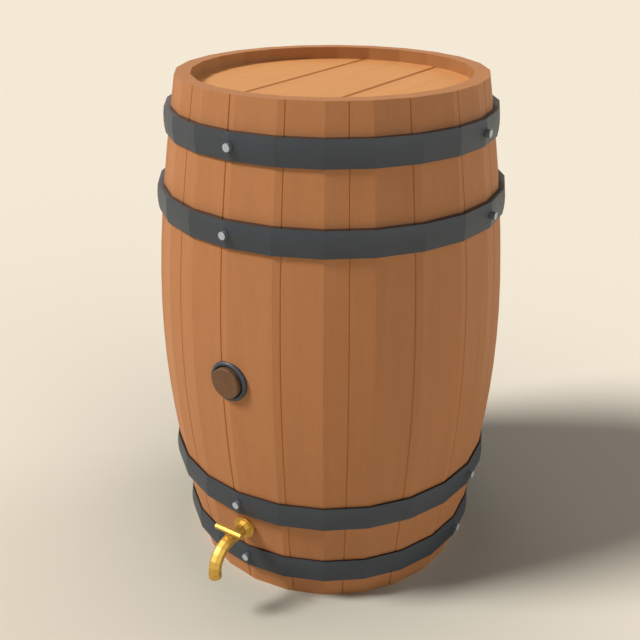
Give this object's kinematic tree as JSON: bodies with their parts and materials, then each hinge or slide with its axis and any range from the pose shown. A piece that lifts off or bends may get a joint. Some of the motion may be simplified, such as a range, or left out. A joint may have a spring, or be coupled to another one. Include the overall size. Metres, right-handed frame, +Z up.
{
  "type": "wooden barrel",
  "caption": "Upright coopered barrel with bulging staves, riveted iron hoops, recessed board heads, a side bung and a small brass tap near the foot.",
  "frame": {"origin": "centre of the ring of stave ends that the barrel stands on", "axes": "+Z up along the barrel's axis, the tap and the bung face -Y, +X is to the right seen from the tap's side"},
  "size_m": [0.6224, 0.696, 0.9],
  "materials": {
    "staves": "smooth warm brown oak with a satin surface",
    "heads": "smooth pale oak with a satin surface",
    "dowels": "plain pale hardwood",
    "hoops": "dark blackened iron, satin",
    "rivets": "bright flat steel",
    "bush": "dark iron with a soft sheen",
    "bung": "dark brown hardwood",
    "tap_brass": "polished brass",
    "seals": "black rubber"
  },
  "bodies": {
    "barrel": {"stave_01": "staves", "stave_02": "staves", "stave_03": "staves", "stave_04": "staves", "stave_05": "staves", "stave_06": "staves", "stave_07": "staves", "stave_08": "staves", "stave_09": "staves", "stave_10": "staves", "stave_11": "staves", "stave_12": "staves", "stave_13": "staves", "stave_14": "staves", "stave_15": "staves", "stave_16": "staves", "stave_17": "staves", "stave_18": "staves", "top_head_board_left": "heads", "bottom_head_board_left": "heads", "top_head_board_middle": "heads", "bottom_head_board_middle": "heads", "top_head_board_right": "heads", "bottom_head_board_right": "heads", "top_head_dowels": "dowels", "bottom_head_dowels": "dowels", "bottom_chime_hoop": "hoops", "bottom_chime_hoop_rivets": "rivets", "lower_quarter_hoop": "hoops", "lower_quarter_hoop_rivets": "rivets", "upper_quarter_hoop": "hoops", "upper_quarter_hoop_rivets": "rivets", "top_chime_hoop": "hoops", "top_chime_hoop_rivets": "rivets", "bung_bush": "bush", "tap_body": "tap_brass", "tap_back_nut": "tap_brass", "tap_gland": "tap_brass", "tap_flange_seal": "seals", "tap_inner_seal": "seals"},
    "bung": {"bung": "bung"},
    "tap_key": {"tap_key": "tap_brass", "tap_key_rings": "seals", "tap_handle_bar": "tap_brass"}
  },
  "joints": [
    {"name": "bung_pull", "type": "slide", "parent": "barrel", "child": "bung", "axis": [0, -1, 0], "range_m": [0, 0.06]},
    {"name": "tap_turn", "type": "hinge", "parent": "barrel", "child": "tap_key", "pos_m": [0, -0.33027, 0.14], "axis": [0, 0, 1], "range_deg": [0, 90]}
  ]
}
